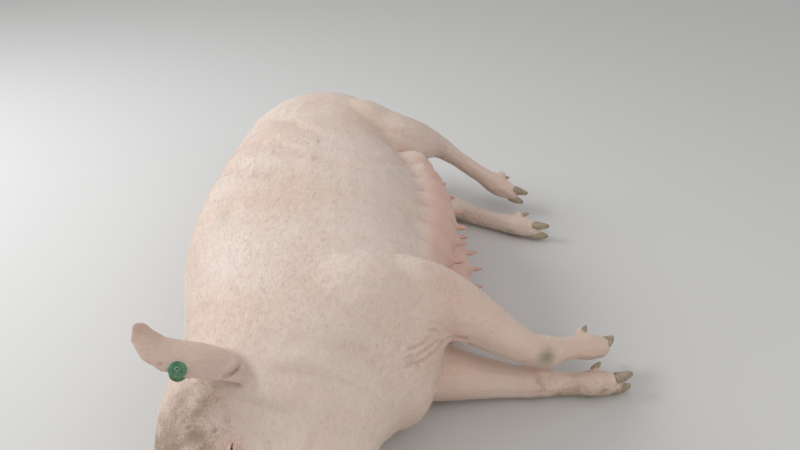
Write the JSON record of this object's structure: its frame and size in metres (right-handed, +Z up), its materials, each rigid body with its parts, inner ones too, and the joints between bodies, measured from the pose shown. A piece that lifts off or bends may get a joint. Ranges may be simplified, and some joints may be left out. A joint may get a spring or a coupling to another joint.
{
  "type": "sow",
  "caption": "Large white sow lying flat on her right side with her legs stretched out and her udder bared, wearing a round tag in her upper ear.",
  "frame": {"origin": "centre of the bounding box on the floor the sow lies on", "axes": "+Z up, out of her left side; her length lies along Y with the snout towards -Y and the tail towards +Y; her back faces -X, and her belly, udder and legs face +X"},
  "size_m": [1.1266, 2.0542, 0.4451],
  "materials": {
    "skin": "pale pink living skin under sparse short white bristles",
    "udder_skin": "thin, nearly bare, salmon pink skin",
    "ear_skin": "thin pink skin, finely haired",
    "eye": "wet dark eye",
    "horn": "dull soiled horn",
    "tag": "moulded green plastic, blank"
  },
  "bodies": {
    "root": {"snout": "skin", "head": "skin", "neck": "skin", "trunk": "skin", "rump": "skin", "tail": "skin", "foreleg_left_upper": "skin", "foreleg_left_lower": "skin", "foreleg_right_upper": "skin", "foreleg_right_lower": "skin", "hindleg_left_upper": "skin", "hindleg_left_lower": "skin", "hindleg_right_upper": "skin", "hindleg_right_lower": "skin", "udder": "udder_skin", "ear_left": "ear_skin", "ear_right": "ear_skin", "eye_left": "eye", "eye_right": "eye", "foreleg_left_claw_upper": "horn", "foreleg_left_claw_lower": "horn", "foreleg_left_dewclaw_upper": "horn", "foreleg_left_dewclaw_lower": "horn", "foreleg_right_claw_upper": "horn", "foreleg_right_claw_lower": "horn", "foreleg_right_dewclaw_upper": "horn", "foreleg_right_dewclaw_lower": "horn", "hindleg_left_claw_upper": "horn", "hindleg_left_claw_lower": "horn", "hindleg_left_dewclaw_upper": "horn", "hindleg_left_dewclaw_lower": "horn", "hindleg_right_claw_upper": "horn", "hindleg_right_claw_lower": "horn", "hindleg_right_dewclaw_upper": "horn", "hindleg_right_dewclaw_lower": "horn", "ear_tag_button": "tag", "ear_tag_washer": "tag"}
  },
  "joints": []
}
